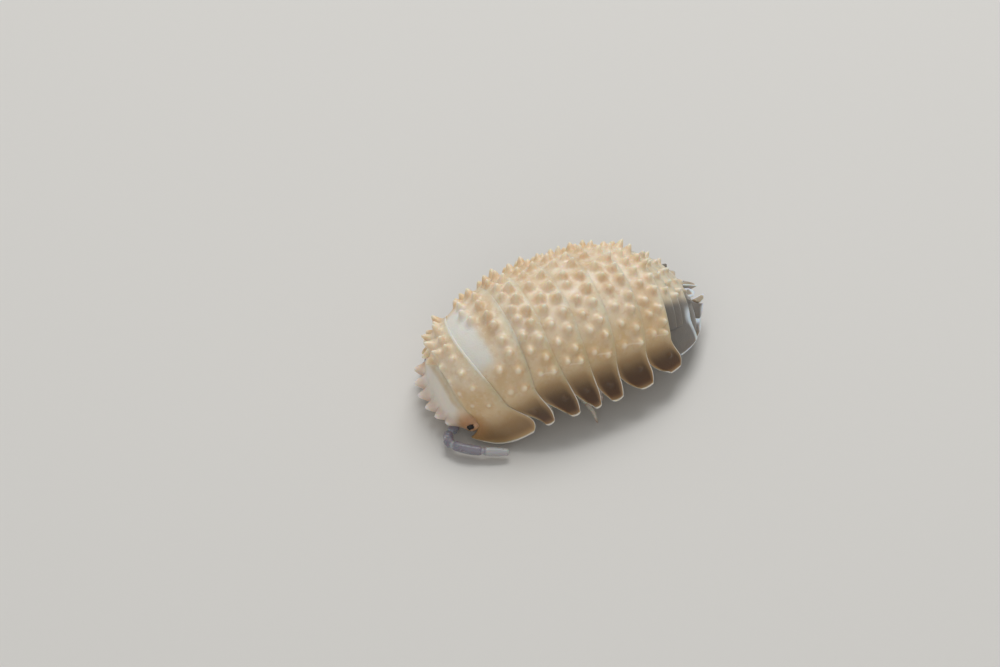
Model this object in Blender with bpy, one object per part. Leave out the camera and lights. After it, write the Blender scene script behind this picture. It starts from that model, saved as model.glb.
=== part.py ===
"""A spiny woodlouse at life size, standing on its fourteen legs with its head bent down to the floor.

Sizes are in millimetres and become metres where a mesh is made. The head points along -Y, the animal's
left side is +X and +Z is up. A place on the body is given by a station s along the base line under it,
measured from the head, and by u, which runs over the back: 0 on the mid-line, 1 at the left hem of the
skirt and -1 at the right hem.
"""

import math
import random

import bmesh
import bpy
import numpy as np
from mathutils import Matrix, Vector

MM = 0.001
GAP = 0.09  # clear space kept between neighbouring pieces, along the base line

# The body's outline, along the base line
HALF_WIDTH = 2.37
WIDEST_AT = 4.77
WIDTH_FRONT = (3.9, 2.6, 0.455)  # reach, power and rounding of the arch, towards the head
WIDTH_REAR = (3.6, 2.4, 0.52)
BACK_HEIGHT = 2.26
HIGHEST_AT = 3.91
HEIGHT_FRONT = (2.93, 4.0, 0.55)
HEIGHT_REAR = (4.02, 2.64, 0.68)
TAIL_HEIGHT = 0.42
HEM_CLEARANCE = 0.82  # hem above the floor at mid-body
HEM_DROP_HEAD = 0.66  # fall of the hem at the bowed front end
HEM_DROP_SPAN = (3.46, 1.7)  # it falls between these stations
HEM_DROP_TAIL = 0.027  # fall of the hem towards the tail, per square millimetre

# Lean of each section from upright in degrees, at stations from head to tail: the head end is bowed
LEAN_STATIONS = (1.0, 1.3, 1.6, 2.0, 2.3, 3.02, 3.62, 5.1, 6.68, 7.29, 7.8, 8.2)
LEAN_DEGREES = (0.0, -8.0, -19.0, -23.0, -21.0, -4.0, -1.0, 7.0, 14.0, 25.0, 43.5, 51.5)

# Section over the back
DOME_SHARE = 0.68  # u where the dome of the back turns into the skirt
DOME_END_ANGLE = math.radians(66)
SKIRT_ROOT_WIDTH = 0.79  # of the half width
SKIRT_ROOT_HEIGHT = 0.46  # of the back's height
HEM_FLARE = 0.12  # the hem stands out this much further than the arch of the back would carry it
BELLY_HEIGHT = 0.37
BELLY_WIDTH = 0.56
BELLY_ROOM = 0.1  # the belly lies at least this far below the root of the skirt
SKIRT_THICKNESS = 0.5
HEM_THICKNESS = 0.3
LAP = 0.1  # how far a plate's rear rim stands above its front edge
SEAM_SLANT = 0.25  # the seams run forwards into the body by this much
HEAD_SOCKET = 0.22  # the first plate is hollowed this far for the back of the head

# Seams on the mid-line: head to first plate, then the rear seam of each of the seven thoracic plates
SEAMS = (1.25, 2.33, 3.03, 3.61, 4.34, 5.08, 5.9, 6.66)
SEAM_SWEEPS = (0.38, 0.15, -0.03, 0.3, 0.15, 0.0, 0.0, 0.1)  # how far each runs back over the side
SWEEPS_OVER = ((0.42, 0.76), (0.0, 1.0), (0.1, 0.8)) + ((0.45, 1.0),) * 5  # u where each sweep starts and ends
LOBE_HOOKS = (0.0, 0.38, 0.3, 0.03, 0.05, 0.06, 0.18, 0.34)  # how much further back the lobe's corner lies
HOOKS_FROM = 0.7
LOBE_ROOT = 0.76  # u where the skirt parts into lobes
FRONT_TRIMS = (-0.38, 0.05, 0.26, 0.28, 0.18, 0.4, 0.36)  # taken off the front of each lobe at its hem
REAR_TRIMS = (0.0, 0.02, -0.04, -0.02, -0.06, -0.04, 0.02)
FRONT_LIFTS = (0.05, 0.08, 0.06, 0.08, 0.05, 0.05, 0.08)  # the lobes' hems curve up at their corners
REAR_LIFTS = (0.03, 0.06, 0.08, 0.08, 0.08, 0.05, 0.0)

# Tail: the rear seam of each of the five tail plates, and the end of the body
TAIL_SEAMS = (6.88, 7.08, 7.37, 7.64, 7.89)
TAIL_SWEEPS = (0.0, 0.0, 0.43, 0.47, 0.33)  # their sides run far back, so that they end side by side
TAIL_SWEEPS_OVER = ((0, 1), (0, 1), (0.5, 0.92), (0.3, 0.78), (0.14, 0.46))
TAIL_REACHES = (0.54, 0.54, 0.92, 0.92, 0.68)  # u of the plates' sides; the first two end inside the others
TAIL_SLANTS = (0.25, 0.25, 0.25, 0.2, 0.14, 0.1)
TELSON_REACH = 0.1
TELSON_END = 8.1
UROPOD_SPAN = (0.15, 0.3)
UROPOD_END = 8.28
LOBE_ROUNDING = 0.05
TELSON_THICKNESS = 0.3
UROPOD_THICKNESS = 0.2

# Head: a wide shield, bent down so far that its crown faces forwards and its brow is near the floor
HEAD_REACH = 0.76  # u of its sides where it meets the first plate
BROW_HALF_WIDTH = 1.27
BROW_AT = 0.9  # station of the middle of the brow
BROW_SWEEP = 0.4  # its ends lie this far behind the middle
BROW_TURN = 0.04  # the head looks a little to the right: change of station per millimetre to the left
BROW_HEIGHT = 0.42
CROWN_BULGE = 0.07
FACE_HEIGHT = 0.17
HEAD_NARROWING = 0.94  # of its back, where it lies inside the first plate
# Brow spines from right to left: share of the brow's half width, and length
BROW_SPIKES = ((-0.79, 0.41), (-0.48, 0.42), (-0.17, 0.41), (0.15, 0.38), (0.42, 0.33), (0.66, 0.26))
BROW_SPIKE_RADIUS = 0.14

SPIKE_SIDES = 5
SPIKE_ROOT = 0.16  # depth of a spine's root inside its plate
SPIKE_HEIGHT = 0.3
SPIKE_RADIUS = 0.135
REAR_ROW = 0.21  # base line distance of the rear row from the plate's rear seam

LEG_RADIUS = 0.25
LEG_STATIONS = (2.0, 2.7, 3.33, 3.99, 4.74, 5.52, 6.2)
LEG_SPREAD = (0.1, -0.05, 0.25, 0.1, 0.12, 0.2, 0.36)  # how far each foot stands ahead or behind
FOOT_SIDEWAYS = (0.8, 1.45, 1.7, 1.7, 1.7, 1.6, 1.45)
REACHING_FOOT = (2.31, 4.43)  # the fourth left leg reaches out past the skirt
ANTENNA_RADIUS = 0.22
EYE_RADIUS = 0.12
EYE_CLEARANCE = 0.06
EYE_SHARE = 0.7  # of the way down the side of the head from its back rim to the brow

CREAM = (0.80, 0.67, 0.47)
PALE_CREAM = (0.82, 0.74, 0.60)
GLASSY_GREY = (0.62, 0.60, 0.57)
DARK_BROWN = (0.03, 0.015, 0.01)


def smooth(t):
    """Smooth step from 0 at t = 0 to 1 at t = 1."""
    t = np.clip(t, 0.0, 1.0)
    return t * t * (3 - 2 * t)


def arch(s, peak, front, rear):
    """A flattened arch along the body, 1 at its peak: (1 - (distance / reach) ** power) ** rounding each way."""
    reach, power, rounding = (np.where(s < peak, f, r) for f, r in zip(front, rear))
    left = 1 - np.minimum(np.abs((s - peak) / reach), 0.999) ** power
    return left**rounding


def half_width(s):
    return HALF_WIDTH * arch(s, WIDEST_AT, WIDTH_FRONT, WIDTH_REAR)


def back_height(s):
    return np.maximum(BACK_HEIGHT * arch(s, HIGHEST_AT, HEIGHT_FRONT, HEIGHT_REAR), TAIL_HEIGHT)


def hem_height(s):
    start, end = HEM_DROP_SPAN
    bowed = HEM_DROP_HEAD * smooth((start - s) / (start - end))
    return HEM_CLEARANCE - bowed - HEM_DROP_TAIL * np.maximum(s - WIDEST_AT, 0) ** 2


def lean(s):
    return np.radians(np.interp(s, LEAN_STATIONS, LEAN_DEGREES))


def place(s, lateral, height):
    """A point of the leaning section at station s, in millimetres."""
    s, lateral, height = np.broadcast_arrays(s, lateral, height)
    angle = lean(s)
    return np.stack(
        [lateral, s + height * np.sin(angle), hem_height(s) + height * np.cos(angle)], -1
    )


def outer_section(s, u, swell=0.0):
    """(lateral, height) of the outer surface: an arch over the back, then a straight flared skirt."""
    size = np.abs(u)
    side = np.sign(u)
    width, top = half_width(s) + swell, back_height(s) + swell
    angle = DOME_END_ANGLE * np.minimum(size / DOME_SHARE, 1)
    dome_lateral = SKIRT_ROOT_WIDTH * np.sin(angle) / math.sin(DOME_END_ANGLE)
    fall = (1 - np.cos(angle)) / (1 - math.cos(DOME_END_ANGLE))
    dome_height = 1 - (1 - SKIRT_ROOT_HEIGHT) * fall
    down = np.clip((size - DOME_SHARE) / (1 - DOME_SHARE), 0, 1)
    lateral = dome_lateral + (1 - SKIRT_ROOT_WIDTH) * down**1.15
    height = dome_height - SKIRT_ROOT_HEIGHT * down
    return side * (lateral * width + HEM_FLARE * down**2), height * top


def inner_section(s, u):
    """(lateral, height) of the underside: a flat belly, then the inner face of the skirt."""
    size = np.abs(u)
    side = np.sign(u)
    width, top = half_width(s), back_height(s)
    down = np.clip((size - DOME_SHARE) / (1 - DOME_SHARE), 0, 1)
    outer_lateral, outer_height = outer_section(s, size)
    root = SKIRT_THICKNESS * width / HALF_WIDTH
    thick = root + (HEM_THICKNESS * width / HALF_WIDTH - root) * down
    belly = np.minimum(BELLY_HEIGHT * top, SKIRT_ROOT_HEIGHT * top - BELLY_ROOM)
    belly_edge = np.minimum(BELLY_WIDTH * width, SKIRT_ROOT_WIDTH * width - root)
    lateral = np.where(size < DOME_SHARE, size / DOME_SHARE * belly_edge, outer_lateral - thick)
    height = np.where(size < DOME_SHARE, belly, np.minimum(belly, outer_height))
    return side * lateral, height


def hem_share(u):
    """0 at the root of the free lobes and 1 at the hem."""
    return np.clip((np.abs(u) - LOBE_ROOT) / (1 - LOBE_ROOT), 0, 1)


def swept(station, sweep, u, start, end):
    """A seam over the back: level with its station as far as u = start, and swept back by u = end."""
    return station + sweep * smooth((np.abs(u) - start) / (end - start))


def thorax_seam(index, u):
    """Seam behind thoracic plate number index; 0 is the one between the head and the first plate."""
    seam = swept(SEAMS[index], SEAM_SWEEPS[index], u, *SWEEPS_OVER[index])
    return swept(seam, LOBE_HOOKS[index], u, HOOKS_FROM, 1.0)


def tail_seam(index, u):
    """Rear seam of tail plate index. Behind the second one it steps forward to the last thoracic plate."""
    seam = swept(TAIL_SEAMS[index - 1], TAIL_SWEEPS[index - 1], u, *TAIL_SWEEPS_OVER[index - 1])
    if index == 2:
        seam = seam + smooth((np.abs(u) - 0.58) / 0.09) * (thorax_seam(7, u) - seam)
    return seam


def half_gap(seam, u):
    """Half of GAP, made longer along the base line where the seam runs aslant over the side."""
    step = 0.02
    slope = (seam(u + step) - seam(u - step)) / (2 * step * half_width(seam(u)))
    return GAP / 2 * np.hypot(1, slope)


def closed_grid(outer, inner):
    """Points and triangles of a slab between two grids of the same shape (rows, columns, 3)."""
    rows, columns = outer.shape[:2]
    count = rows * columns
    points = np.concatenate([outer.reshape(-1, 3), inner.reshape(-1, 3)])
    faces = []

    def quad(a, b, c, d):
        faces.extend([(a, b, c), (a, c, d)])

    for r in range(rows - 1):
        for c in range(columns - 1):
            a = r * columns + c
            quad(a, a + 1, a + columns + 1, a + columns)
            quad(count + a, count + a + columns, count + a + columns + 1, count + a + 1)
    for c in range(columns - 1):
        quad(c, count + c, count + c + 1, c + 1)
        last = (rows - 1) * columns + c
        quad(last, last + 1, count + last + 1, count + last)
    for r in range(rows - 1):
        a = r * columns
        quad(a, a + columns, count + a + columns, count + a)
        b = a + columns - 1
        quad(b, count + b, count + b + columns, b + columns)
    return points, faces


def material(name, colour, roughness):
    made = bpy.data.materials.new(name)
    made.use_nodes = True
    shader = made.node_tree.nodes["Principled BSDF"]
    shader.inputs["Base Color"].default_value = (*colour, 1.0)
    shader.inputs["Roughness"].default_value = roughness
    shader.inputs["Metallic"].default_value = 0.0
    return made


def new_object(name, points, faces, collection):
    """A mesh object from millimetre points, with its normals facing out."""
    mesh = bpy.data.meshes.new(name)
    mesh.from_pydata((np.asarray(points) * MM).tolist(), [], faces)
    shell = bmesh.new()
    shell.from_mesh(mesh)
    bmesh.ops.recalc_face_normals(shell, faces=shell.faces)
    shell.to_mesh(mesh)
    shell.free()
    obj = bpy.data.objects.new(name, mesh)
    collection.objects.link(obj)
    return obj


def keep_largest(mesh):
    """Leaves only the closed surface that holds the most volume."""
    shell = bmesh.new()
    shell.from_mesh(mesh)
    bmesh.ops.triangulate(shell, faces=shell.faces)
    unseen = set(shell.faces)
    islands = []
    while unseen:
        start = unseen.pop()
        island, edge_of_search = [start], [start]
        while edge_of_search:
            face = edge_of_search.pop()
            for edge in face.edges:
                for other in edge.link_faces:
                    if other in unseen:
                        unseen.remove(other)
                        island.append(other)
                        edge_of_search.append(other)
        islands.append(island)

    def volume(island):
        return sum(
            f.verts[0].co.dot(f.verts[1].co.cross(f.verts[2].co)) for f in island
        )

    islands.sort(key=volume, reverse=True)
    loose = [face for island in islands[1:] for face in island]
    bmesh.ops.delete(shell, geom=loose, context="FACES")
    bmesh.ops.delete(shell, geom=[v for v in shell.verts if not v.link_faces], context="VERTS")
    shell.to_mesh(mesh)
    shell.free()


def join(obj, pieces, operation="UNION"):
    """Fuses the pieces into obj, or cuts them out of it, in one Boolean, and removes them."""
    if not pieces:
        return
    group = bpy.data.collections.new(obj.name + "_pieces")
    bpy.context.scene.collection.children.link(group)
    for piece in pieces:
        for owner in piece.users_collection:
            owner.objects.unlink(piece)
        group.objects.link(piece)
    boolean = obj.modifiers.new("join", "BOOLEAN")
    boolean.operation = operation
    boolean.operand_type = "COLLECTION"
    boolean.collection = group
    boolean.solver = "MANIFOLD"
    graph = bpy.context.evaluated_depsgraph_get()
    mesh = bpy.data.meshes.new_from_object(obj.evaluated_get(graph))
    obj.modifiers.clear()
    obj.data = mesh
    keep_largest(mesh)
    for piece in pieces:
        bpy.data.objects.remove(piece)
    bpy.data.collections.remove(group)


def cone(name, root, direction, height, radius, collection, sides=SPIKE_SIDES, sunk=SPIKE_ROOT):
    """A conical spine with its root sunk below the surface point it grows from."""
    direction = Vector(direction).normalized()
    turn = direction.to_track_quat("Z", "Y").to_matrix()
    points = []
    for level, share in ((-sunk, 1.0), (0.5 * height, 0.72)):
        for k in range(sides):
            angle = math.tau * k / sides
            ring = Vector((share * radius * math.cos(angle), share * radius * math.sin(angle), level))
            points.append(Vector(root) + turn @ ring)
    points.append(Vector(root) + direction * height)
    apex = 2 * sides
    faces = [tuple(range(sides))[::-1]]
    for k in range(sides):
        after = (k + 1) % sides
        faces.append((k, after, sides + after, sides + k))
        faces.append((sides + k, sides + after, apex))
    return new_object(name, [tuple(p) for p in points], faces, collection)


def surface_frame(s, u):
    """A point of the outer surface, its outward normal and the way to the tail along the surface."""
    step = 0.01
    here = place(s, *outer_section(s, u))
    tailward = place(s + step, *outer_section(s + step, u)) - here
    leftward = place(s, *outer_section(s, u + step)) - place(s, *outer_section(s, u - step))
    normal = np.cross(leftward, tailward)
    if np.dot(normal, here - place(s, 0.0, 0.2 * back_height(s))) < 0:
        normal = -normal
    return here, normal / np.linalg.norm(normal), tailward / np.linalg.norm(tailward)


def spikes_on(name, rows, rng, collection):
    """Spines of one plate. A row is (station of each u, places in u, height, radius, backward tilt)."""
    made = []
    for station, places, height, radius, tilt in rows:
        for u in places:
            root, normal, tailward = surface_frame(station(u), u + rng.uniform(-0.012, 0.012))
            direction = normal + tailward * (tilt + rng.uniform(-0.08, 0.08))
            varied = height * (1 + rng.uniform(-0.14, 0.14))
            made.append(cone(f"{name}_spike", root, direction, varied, radius, collection))
    return made


def both_sides(*places):
    """The same places on the right and on the left, with a 0 kept once."""
    return sorted({sign * p for p in places for sign in (-1, 1)})


def plate(name, front, rear, columns, shares, trims, lifts, look, collection, slants=(-SEAM_SLANT, -SEAM_SLANT)):
    """A body plate between two seams, with its belly part, its skirt lobes and a lapped rear rim."""
    grid_u, share = np.meshgrid(np.asarray(columns, float), np.asarray(shares, float))
    hem = hem_share(grid_u)
    start = front(grid_u) + half_gap(front, grid_u) + trims[0] * hem**2.5
    stop = rear(grid_u) - half_gap(rear, grid_u) - trims[1] * hem**2
    s = start + (stop - start) * share
    rim = LAP * (smooth(share * 1.4) - 0.6) * (1 - hem)
    lateral, height = outer_section(s, grid_u, rim)
    corner = np.where(share < 0.5, lifts[0], lifts[1])
    lift = corner * hem * np.abs(2 * share - 1) ** 2.6
    outer = place(s, lateral, height + lift)
    slant = (slants[0] + (slants[1] - slants[0]) * share) * np.maximum(1 - 2 * hem, 0)
    inner_lateral, inner_height = inner_section(s + slant, grid_u)
    inner = place(s + slant, inner_lateral, inner_height + lift)
    points, faces = closed_grid(outer, inner)
    obj = new_object(name, points, faces, collection)
    obj.data.materials.append(look)
    return obj


def tube(name, path, radii, sides, look, collection, level_end=False):
    """A round limb through the path's points, with flat ends; the last end may lie level."""
    points = []
    spots = [Vector(p) for p in path]
    for k, (spot, radius) in enumerate(zip(spots, radii)):
        before, after = spots[max(k - 1, 0)], spots[min(k + 1, len(spots) - 1)]
        along = ((after - spot).normalized() + (spot - before).normalized()).normalized()
        if level_end and k == len(spots) - 1:
            along = Vector((0, 0, -1))
        side = along.cross(Vector((0, 1, 0)) if abs(along.y) < 0.9 else Vector((0, 0, 1))).normalized()
        other = along.cross(side)
        for j in range(sides):
            angle = math.tau * (j + 0.5) / sides
            points.append(tuple(spot + radius * (side * math.cos(angle) + other * math.sin(angle))))
    faces = [tuple(range(sides)), tuple(range(len(points) - sides, len(points)))]
    for k in range(len(spots) - 1):
        for j in range(sides):
            a, b = k * sides + j, k * sides + (j + 1) % sides
            faces.append((a, b, b + sides, a + sides))
    obj = new_object(name, points, faces, collection)
    obj.data.materials.append(look)
    return obj


def build_thorax(number, rng, look, collection):
    def front(u):
        return thorax_seam(number - 1, u)

    def rear(u):
        return thorax_seam(number, u)

    columns = both_sides(0.0, 0.09, 0.18, 0.27, 0.36, 0.45, 0.54, 0.62, 0.68, 0.76, 0.84, 0.92, 1.0)
    shares = (0, 0.12, 0.28, 0.46, 0.64, 0.82, 1) if number == 1 else (0, 0.25, 0.5, 0.75, 1)
    name = f"shell_plate_{number}"
    slants = (HEAD_SOCKET if number == 1 else -SEAM_SLANT, -SEAM_SLANT)
    trims = (FRONT_TRIMS[number - 1], REAR_TRIMS[number - 1])
    lifts = (FRONT_LIFTS[number - 1], REAR_LIFTS[number - 1])
    obj = plate(name, front, rear, columns, shares, trims, lifts, look, collection, slants)

    def rear_row(u):
        return rear(u) - REAR_ROW

    def front_row(u):
        return front(u) + (rear(u) - REAR_ROW - front(u)) * (0.52 if number == 2 else 0.36)

    def lobe_spot(u):
        return rear(u) - REAR_ROW - 0.08

    rows = [
        (rear_row, both_sides(0.0, 0.12, 0.25, 0.38, 0.51, 0.64), SPIKE_HEIGHT, SPIKE_RADIUS, 0.3),
        (front_row, both_sides(0.06, 0.185, 0.315, 0.445, 0.58), 0.86 * SPIKE_HEIGHT, SPIKE_RADIUS, 0.15),
        (lobe_spot, both_sides(0.86), 0.6 * SPIKE_HEIGHT, 0.12, 0.3),
    ]
    if number == 1:
        rows[1] = (lambda u: front(u) + 0.12, both_sides(0.0, 0.17, 0.34, 0.5, 0.64), 0.24, 0.13, 0.0)
        rows.append((lambda u: front(u) + 0.42, both_sides(0.08, 0.24, 0.41, 0.57), 0.26, 0.14, 0.1))
    join(obj, spikes_on(name, rows, rng, collection))


def build_tail(number, rng, look, collection):
    name = f"tail_plate_{number}"
    reach = TAIL_REACHES[number - 1]
    inside = (0, 0.1, 0.2, 0.3, 0.38, 0.46, 0.54, 0.61, 0.68, 0.76, 0.84)
    columns = both_sides(*(u for u in inside if u < reach - 0.02), reach)

    def front(u):
        return np.full_like(u, SEAMS[-1]) if number == 1 else tail_seam(number - 1, u)

    def rear(u):
        return np.full_like(u, TAIL_SEAMS[number - 1]) if number < 3 else tail_seam(number, u)

    slants = (-TAIL_SLANTS[number - 1], -TAIL_SLANTS[number])
    obj = plate(name, front, rear, columns, (0, 0.5, 1), (0, 0), (0, 0), look, collection, slants)
    places = both_sides(0.07, 0.22, 0.37) if number % 2 else both_sides(0.0, 0.15, 0.3, 0.45)
    middle = [(lambda u: 0.6 * front(np.float64(u)) + 0.4 * rear(np.float64(u)), places, 0.2, 0.08, 0.2)]
    join(obj, spikes_on(name, middle, rng, collection))


def build_tail_end(look, collection):
    """The telson on the mid-line and a flat uropod on each side of it."""
    low, high = UROPOD_SPAN
    spans = (
        ("telson", np.linspace(-TELSON_REACH, TELSON_REACH, 7)),
        ("uropod_left", np.linspace(low, high, 5)),
        ("uropod_right", np.linspace(-high, -low, 5)),
    )
    for name, columns in spans:
        grid_u, share = np.meshgrid(columns, np.array((0, 0.5, 1)))
        raised, thick = (0, TELSON_THICKNESS) if name == "telson" else (0.04, UROPOD_THICKNESS)
        start = tail_seam(5, grid_u) + GAP / 2 + 1.2 * raised
        middle = (columns[0] + columns[-1]) / 2
        outward = (grid_u - middle) / (columns[-1] - middle)
        stop = (TELSON_END if name == "telson" else UROPOD_END) - LOBE_ROUNDING * outward**2
        s = start + (stop - start) * share
        lateral, height = outer_section(s, grid_u, raised)
        points, faces = closed_grid(
            place(s, lateral, height), place(s + 0.4 * thick, lateral, height - thick)
        )
        obj = new_object(name, points, faces, collection)
        obj.data.materials.append(look)


def brow_point(share):
    """A point of the brow's edge: share runs from -1 at its right end to 1 at its left end."""
    lateral = BROW_HALF_WIDTH * share
    station = BROW_AT + BROW_SWEEP * share**2 - BROW_TURN * lateral
    return np.stack([lateral, station, np.full_like(share, BROW_HEIGHT)], -1)


def head_seam(u):
    return thorax_seam(0, u)


def head_rows(share):
    """The head's outline in each column: back rim, crown, brow, face, and back up to the belly."""
    u = HEAD_REACH * share
    back = thorax_seam(0, u) - 1.5 * half_gap(head_seam, u)
    rim = place(back, *outer_section(back, u, -0.05))
    brow = brow_point(share)
    rows = [rim]
    for t in (0.35, 0.7):
        bulge = CROWN_BULGE * 4 * t * (1 - t)
        rows.append(rim + (brow - rim) * t + [0, -bulge, 0.3 * bulge])
    rows.append(brow)
    rows.append(brow * [0.97, 1, 1] + [0, 0.06, -0.13])
    face = (brow + brow_point(np.zeros_like(share))) / 2
    rows.append(np.stack([0.85 * brow[:, 0], face[:, 1] + 0.22, np.full_like(share, FACE_HEIGHT)], -1))
    socket = back + HEAD_SOCKET
    lateral, height = inner_section(socket, u)
    rows.append(place(socket, HEAD_NARROWING * lateral, height))
    return rows


def build_head(look, eye_look, collection):
    places = both_sides(0.0, 0.09, 0.18, 0.27, 0.36, 0.45, 0.54, 0.62, 0.68, HEAD_REACH)
    columns = np.array(places) / HEAD_REACH
    rows = head_rows(columns)
    count, around = len(columns), len(rows)
    points = np.stack(rows, axis=1).reshape(-1, 3)
    ends = (0, (count - 1) * around)
    faces = [(end + around - 1, end + r, end + r + 1) for end in ends for r in range(around - 2)]
    for c in range(count - 1):
        for r in range(around):
            a, b = c * around + r, c * around + (r + 1) % around
            faces.extend([(a, b, b + around), (a, b + around, a + around)])
    head = new_object("head", points, faces, collection)
    head.data.materials.append(look)
    spikes = []
    for share, length in BROW_SPIKES:
        root = brow_point(np.float64(share)) + [0, 0.03, 0]
        direction = Vector((0.36 * share, -0.9, 0.35))
        spikes.append(cone("brow", root, direction, length, BROW_SPIKE_RADIUS, collection))
    join(head, spikes)
    sockets = []
    for side, name in ((1, "eye_left"), (-1, "eye_right")):
        rim, brow = (rows[k][-1 if side > 0 else 0] for k in (0, 3))
        spot = rim + (brow - rim) * EYE_SHARE + [0.03 * side, 0, 0]
        for label, radius in ((name, EYE_RADIUS), ("socket", EYE_RADIUS + EYE_CLEARANCE)):
            ball = bmesh.new()
            bmesh.ops.create_icosphere(ball, subdivisions=2, radius=radius * MM)
            ball_mesh = bpy.data.meshes.new(label)
            ball.to_mesh(ball_mesh)
            ball.free()
            obj = bpy.data.objects.new(label, ball_mesh)
            for vertex in ball_mesh.vertices:
                vertex.co += Vector(spot) * MM
            collection.objects.link(obj)
            if label == "socket":
                sockets.append(obj)
            else:
                ball_mesh.materials.append(eye_look)
    join(head, sockets, "DIFFERENCE")


def build_legs(look, collection):
    for number, (station, spread, foot_side) in enumerate(zip(LEG_STATIONS, LEG_SPREAD, FOOT_SIDEWAYS), 1):
        under = station + np.array([-0.3, 0, 0.3])
        belly = place(under, 0.0, BELLY_HEIGHT * back_height(under))
        for side, name in ((1, "left"), (-1, "right")):
            top = belly[:, 2].min() - 1.5 * GAP
            y = belly[1, 1]
            step = 0.05 * side * (-1) ** number
            foot = (foot_side, y + spread + step)
            knee = (0.45 + 0.5 * foot_side, y + 0.45 * spread, 0.6 * top)
            ankle = (0.95 * foot_side, y + 0.8 * spread + step, 0.25 * top)
            if number == 4 and side == 1:
                foot = REACHING_FOOT
                ankle = (2.02, 4.27, 0.36)
            path = [
                (0.5, y, top), (0.58, y + 0.1 * spread, top - 0.22), knee, ankle, (*foot, 0.0),
            ]
            path = [(side * a, b, c) for a, b, c in path]
            radii = (LEG_RADIUS, LEG_RADIUS, LEG_RADIUS, 0.17, 0.1)
            tube(f"leg_{number}_{name}", path, radii, 6, look, collection, level_end=True)


def build_antennae(look, collection):
    """Elbowed feelers that come out under the ends of the brow and fold back along the hem, the right
    one closer in than the left."""
    paths = {
        "antenna_left": (
            (1.03, 0.86, 0.25), (1.14, 0.73, 0.26), (1.3, 0.63, 0.28), (1.55, 0.68, 0.3),
            (1.8, 0.9, 0.29), (2.05, 1.24, 0.26), (2.2, 1.57, 0.24), (2.35, 1.93, 0.22),
        ),
        "antenna_right": (
            (-1.08, 1.06, 0.18), (-1.21, 0.95, 0.21), (-1.37, 0.92, 0.23), (-1.56, 1.0, 0.25),
            (-1.84, 1.28, 0.25), (-2.04, 1.53, 0.24), (-2.2, 1.8, 0.23), (-2.32, 2.14, 0.2),
        ),
    }
    radii = (0.15, 0.19, ANTENNA_RADIUS, ANTENNA_RADIUS, ANTENNA_RADIUS, 0.2, 0.16, 0.1)
    for name, path in paths.items():
        tube(name, path, radii, 6, look, collection)


def set_on_origin(collection):
    """Moves everything so that the origin is under the middle of the animal, on the floor."""
    spots = np.array([v.co for obj in collection.objects for v in obj.data.vertices])
    low, high = spots.min(axis=0), spots.max(axis=0)
    shift = Vector(((low[0] + high[0]) / 2, (low[1] + high[1]) / 2, low[2]))
    for obj in collection.objects:
        for vertex in obj.data.vertices:
            vertex.co -= shift


def main():
    for obj in list(bpy.data.objects):
        bpy.data.objects.remove(obj)
    animal = bpy.data.collections.new("woodlouse")
    bpy.context.scene.collection.children.link(animal)
    rng = random.Random(11)
    for number in range(1, 8):
        look = material(f"shell_{number}", CREAM, 0.4)
        build_thorax(number, rng, look, animal)
    for number in range(1, 6):
        build_tail(number, rng, material(f"tail_{number}", GLASSY_GREY, 0.35), animal)
    build_tail_end(material("tail_end", GLASSY_GREY, 0.35), animal)
    build_head(material("head", CREAM, 0.4), material("eye", DARK_BROWN, 0.15), animal)
    limbs = material("limbs", PALE_CREAM, 0.45)
    build_legs(limbs, animal)
    build_antennae(limbs, animal)
    set_on_origin(animal)


main()
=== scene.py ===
"""Looks of a pale spiny woodlouse at life size, built round its packed plates, legs and feelers.

Sizes are in millimetres and become metres where a mesh is made. s is a station along the base line under
the animal, counted from the head, and u runs over the back from the right hem (-1) to the left hem (1).
The head points along -Y and the animal's left side is +X.
"""

import math

import bpy
import numpy as np
from mathutils import Matrix, Vector


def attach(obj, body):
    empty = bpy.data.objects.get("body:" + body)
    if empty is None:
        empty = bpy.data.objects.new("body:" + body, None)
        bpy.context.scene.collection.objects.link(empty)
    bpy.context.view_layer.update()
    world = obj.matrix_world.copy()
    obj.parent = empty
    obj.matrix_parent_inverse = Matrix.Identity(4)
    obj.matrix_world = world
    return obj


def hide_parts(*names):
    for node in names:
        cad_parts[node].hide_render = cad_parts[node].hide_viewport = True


MM = 0.001
BASE_Y = -4.5150  # Y of station 0

# The body's outline along the base line, the same values as the solids have. Each side of a curve has its
# own (reach, power, rounding).
HALF_WIDTH, WIDEST_AT = 2.37, 4.77
WIDTH_FRONT, WIDTH_REAR = (3.9, 2.6, 0.455), (3.6, 2.4, 0.52)
BACK_HEIGHT, HIGHEST_AT = 2.26, 3.91
HEIGHT_FRONT, HEIGHT_REAR = (2.93, 4.0, 0.55), (4.02, 2.64, 0.68)
TAIL_HEIGHT = 0.42
HEM_CLEARANCE, HEM_DROP_HEAD, HEM_DROP_SPAN, HEM_DROP_TAIL = 0.82, 0.66, (3.46, 1.7), 0.027
LEAN_STATIONS = (1.0, 1.3, 1.6, 2.0, 2.3, 3.02, 3.62, 5.1, 6.68, 7.29, 7.8, 8.2)
LEAN_DEGREES = (0.0, -8.0, -19.0, -23.0, -21.0, -4.0, -1.0, 7.0, 14.0, 25.0, 43.5, 51.5)

# The section across the body: a dome, and a skirt on each side from its root to the hem
DOME_SHARE, DOME_END_ANGLE = 0.68, math.radians(66)
SKIRT_ROOT_WIDTH, SKIRT_ROOT_HEIGHT = 0.79, 0.46
SKIRT_BEND, HEM_FLARE = 1.15, 0.12
SKIRT_THICKNESS, HEM_THICKNESS, SKIRT_TAPER = 0.42, 0.05, 0.6
BELLY_HEIGHT, BELLY_WIDTH, BELLY_ROOM = 0.37, 0.56, 0.1

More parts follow.
